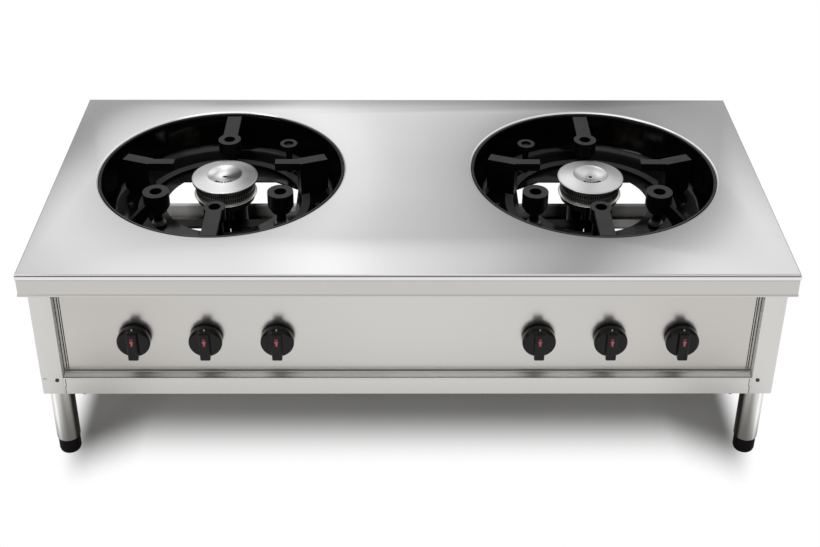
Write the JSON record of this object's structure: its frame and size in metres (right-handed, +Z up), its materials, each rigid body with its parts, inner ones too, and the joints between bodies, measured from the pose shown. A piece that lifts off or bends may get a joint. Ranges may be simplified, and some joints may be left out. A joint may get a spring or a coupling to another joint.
{
  "type": "two-burner biryani range",
  "caption": "Low free-standing gas range with a folded steel top, two deep round wells holding cast pot rests and ring burners, a front panel of push-and-turn knobs and tube legs.",
  "frame": {"origin": "centre of the footprint, on the floor", "axes": "+X to the right along the front, +Y to the back, +Z up; the knobs face -Y"},
  "size_m": [1.5, 0.72, 0.49],
  "materials": {
    "brushed_top": "fine brushed",
    "brushed_body": "brushed, slightly warm",
    "polished_tube": "polished tube",
    "black_foot": "matt black",
    "black_enamel": "glossy black enamel",
    "black_steel": "satin black paint",
    "cast_iron": "black, matt grey on top faces",
    "turned_steel": "turned",
    "polished_cap": "turned and polished",
    "black_knob": "glossy black",
    "brass": "machined",
    "feed_pipe": "drawn pipe",
    "plated_steel": "bright zinc"
  },
  "bodies": {
    "range_frame": {"bowl_bearers": "black_steel", "feed_pipes": "feed_pipe", "frame_bolts": "plated_steel", "front_left_post": "brushed_body", "front_leg_tubes": "polished_tube", "front_panel": "brushed_body", "front_rail": "brushed_body", "front_right_post": "brushed_body", "gas_manifold": "black_steel", "gas_valves": "brass", "injectors": "brass", "left_bowl": "black_enamel", "left_burner_body": "cast_iron", "left_burner_strap": "black_steel", "left_flame_ring": "turned_steel", "left_side_panel": "brushed_body", "pilot_burners": "brass", "rear_left_post": "brushed_body", "rear_leg_tubes": "polished_tube", "rear_rail": "brushed_body", "rear_right_post": "brushed_body", "right_bowl": "black_enamel", "right_burner_body": "cast_iron", "right_burner_strap": "black_steel", "right_flame_ring": "turned_steel", "right_side_panel": "brushed_body", "rivets": "plated_steel", "worktop": "brushed_top"},
    "left_pan_support": {"left_pan_support": "cast_iron", "left_support_cups": "cast_iron", "left_support_studs": "plated_steel"},
    "left_burner_cap": {"left_burner_cap": "polished_cap"},
    "left_air_shutter": {"left_air_shutter": "plated_steel"},
    "front_left_foot": {"front_left_foot": "black_foot"},
    "rear_left_foot": {"rear_left_foot": "black_foot"},
    "right_pan_support": {"right_pan_support": "cast_iron", "right_support_cups": "cast_iron", "right_support_studs": "plated_steel"},
    "right_burner_cap": {"right_burner_cap": "polished_cap"},
    "right_air_shutter": {"right_air_shutter": "plated_steel"},
    "front_right_foot": {"front_right_foot": "black_foot"},
    "rear_right_foot": {"rear_right_foot": "black_foot"},
    "valve_plug_1": {"valve_plug_1": "brass"},
    "knob_1": {"knob_1": "black_knob", "valve_spindle_1": "plated_steel"},
    "valve_plug_2": {"valve_plug_2": "brass"},
    "knob_2": {"knob_2": "black_knob", "valve_spindle_2": "plated_steel"},
    "valve_plug_3": {"valve_plug_3": "brass"},
    "knob_3": {"knob_3": "black_knob", "valve_spindle_3": "plated_steel"},
    "valve_plug_4": {"valve_plug_4": "brass"},
    "knob_4": {"knob_4": "black_knob", "valve_spindle_4": "plated_steel"},
    "valve_plug_5": {"valve_plug_5": "brass"},
    "knob_5": {"knob_5": "black_knob", "valve_spindle_5": "plated_steel"},
    "valve_plug_6": {"valve_plug_6": "brass"},
    "knob_6": {"knob_6": "black_knob", "valve_spindle_6": "plated_steel"}
  },
  "joints": [
    {"name": "left_support_lift", "type": "slide", "parent": "range_frame", "child": "left_pan_support", "axis": [0, 0, 1], "range_m": [0, 0.15]},
    {"name": "left_cap_lift", "type": "slide", "parent": "range_frame", "child": "left_burner_cap", "axis": [0, 0, 1], "range_m": [0, 0.12]},
    {"name": "left_shutter_slide", "type": "slide", "parent": "range_frame", "child": "left_air_shutter", "axis": [1, 0, 0], "range_m": [0, 0.012]},
    {"name": "front_left_foot_screw", "type": "slide", "parent": "range_frame", "child": "front_left_foot", "axis": [0, 0, -1], "range_m": [0, 0.025]},
    {"name": "rear_left_foot_screw", "type": "slide", "parent": "range_frame", "child": "rear_left_foot", "axis": [0, 0, -1], "range_m": [0, 0.025]},
    {"name": "right_support_lift", "type": "slide", "parent": "range_frame", "child": "right_pan_support", "axis": [0, 0, 1], "range_m": [0, 0.15]},
    {"name": "right_cap_lift", "type": "slide", "parent": "range_frame", "child": "right_burner_cap", "axis": [0, 0, 1], "range_m": [0, 0.12]},
    {"name": "right_shutter_slide", "type": "slide", "parent": "range_frame", "child": "right_air_shutter", "axis": [-1, 0, 0], "range_m": [0, 0.012]},
    {"name": "front_right_foot_screw", "type": "slide", "parent": "range_frame", "child": "front_right_foot", "axis": [0, 0, -1], "range_m": [0, 0.025]},
    {"name": "rear_right_foot_screw", "type": "slide", "parent": "range_frame", "child": "rear_right_foot", "axis": [0, 0, -1], "range_m": [0, 0.025]},
    {"name": "valve_1_turn", "type": "hinge", "parent": "range_frame", "child": "valve_plug_1", "pos_m": [-0.545, -0.285, 0.306], "axis": [0, -1, 0], "range_deg": [0, 180]},
    {"name": "knob_1_push", "type": "slide", "parent": "valve_plug_1", "child": "knob_1", "axis": [0, 1, 0], "range_m": [0, 0.004], "stiffness_N_per_m": 800, "springref_m": -0.004},
    {"name": "valve_2_turn", "type": "hinge", "parent": "range_frame", "child": "valve_plug_2", "pos_m": [-0.4025, -0.285, 0.306], "axis": [0, -1, 0], "range_deg": [0, 180]},
    {"name": "knob_2_push", "type": "slide", "parent": "valve_plug_2", "child": "knob_2", "axis": [0, 1, 0], "range_m": [0, 0.004], "stiffness_N_per_m": 800, "springref_m": -0.004},
    {"name": "valve_3_turn", "type": "hinge", "parent": "range_frame", "child": "valve_plug_3", "pos_m": [-0.26, -0.285, 0.306], "axis": [0, -1, 0], "range_deg": [0, 180]},
    {"name": "knob_3_push", "type": "slide", "parent": "valve_plug_3", "child": "knob_3", "axis": [0, 1, 0], "range_m": [0, 0.004], "stiffness_N_per_m": 800, "springref_m": -0.004},
    {"name": "valve_4_turn", "type": "hinge", "parent": "range_frame", "child": "valve_plug_4", "pos_m": [0.26, -0.285, 0.306], "axis": [0, -1, 0], "range_deg": [0, 180]},
    {"name": "knob_4_push", "type": "slide", "parent": "valve_plug_4", "child": "knob_4", "axis": [0, 1, 0], "range_m": [0, 0.004], "stiffness_N_per_m": 800, "springref_m": -0.004},
    {"name": "valve_5_turn", "type": "hinge", "parent": "range_frame", "child": "valve_plug_5", "pos_m": [0.4025, -0.285, 0.306], "axis": [0, -1, 0], "range_deg": [0, 180]},
    {"name": "knob_5_push", "type": "slide", "parent": "valve_plug_5", "child": "knob_5", "axis": [0, 1, 0], "range_m": [0, 0.004], "stiffness_N_per_m": 800, "springref_m": -0.004},
    {"name": "valve_6_turn", "type": "hinge", "parent": "range_frame", "child": "valve_plug_6", "pos_m": [0.545, -0.285, 0.306], "axis": [0, -1, 0], "range_deg": [0, 180]},
    {"name": "knob_6_push", "type": "slide", "parent": "valve_plug_6", "child": "knob_6", "axis": [0, 1, 0], "range_m": [0, 0.004], "stiffness_N_per_m": 800, "springref_m": -0.004}
  ]
}
